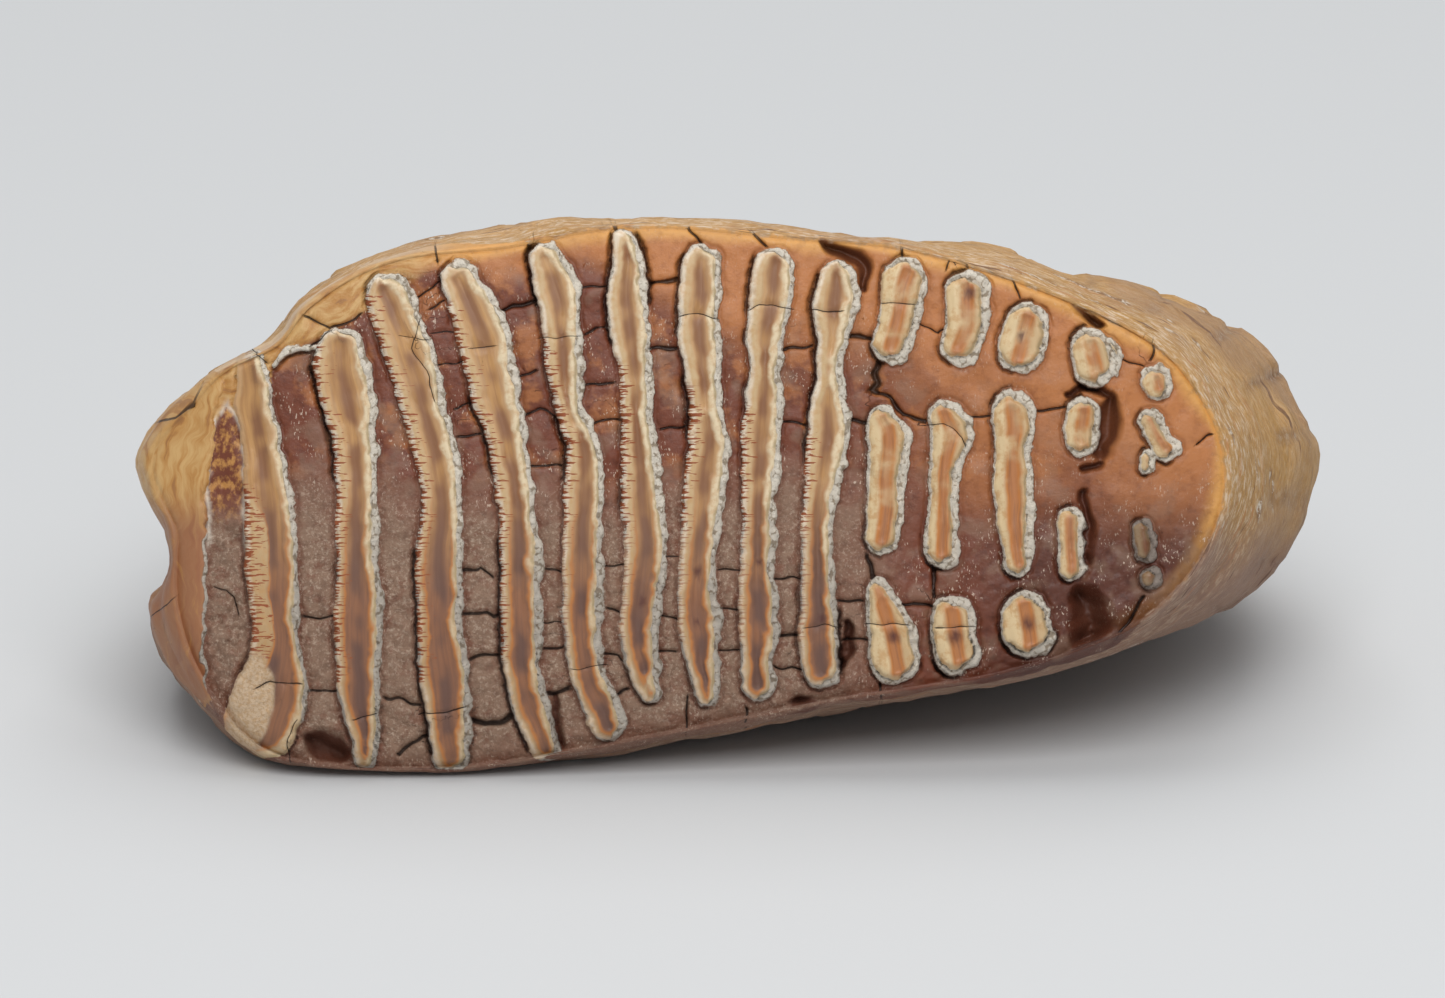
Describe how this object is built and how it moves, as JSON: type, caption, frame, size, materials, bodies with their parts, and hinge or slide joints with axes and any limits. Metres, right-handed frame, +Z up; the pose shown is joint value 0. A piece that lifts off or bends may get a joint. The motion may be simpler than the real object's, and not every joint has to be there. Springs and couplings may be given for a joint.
{
  "type": "woolly mammoth molar",
  "caption": "Whole fossil cheek tooth lying on its side, with a worn chewing face of raised enamel loops, dentine hollows and cracked cement.",
  "frame": {"origin": "on the surface that the tooth rests on, under the middle of its bounding box", "axes": "+X along the chewing face, from the front end of the tooth to its back end; -Y towards the chewing face; +Z up"},
  "size_m": [0.234, 0.1276, 0.1042],
  "materials": {
    "molar": "polished orange-brown cement and cream enamel on the face, fibrous and dull on the sides"
  },
  "bodies": {
    "root": {"molar": "molar"}
  },
  "joints": []
}
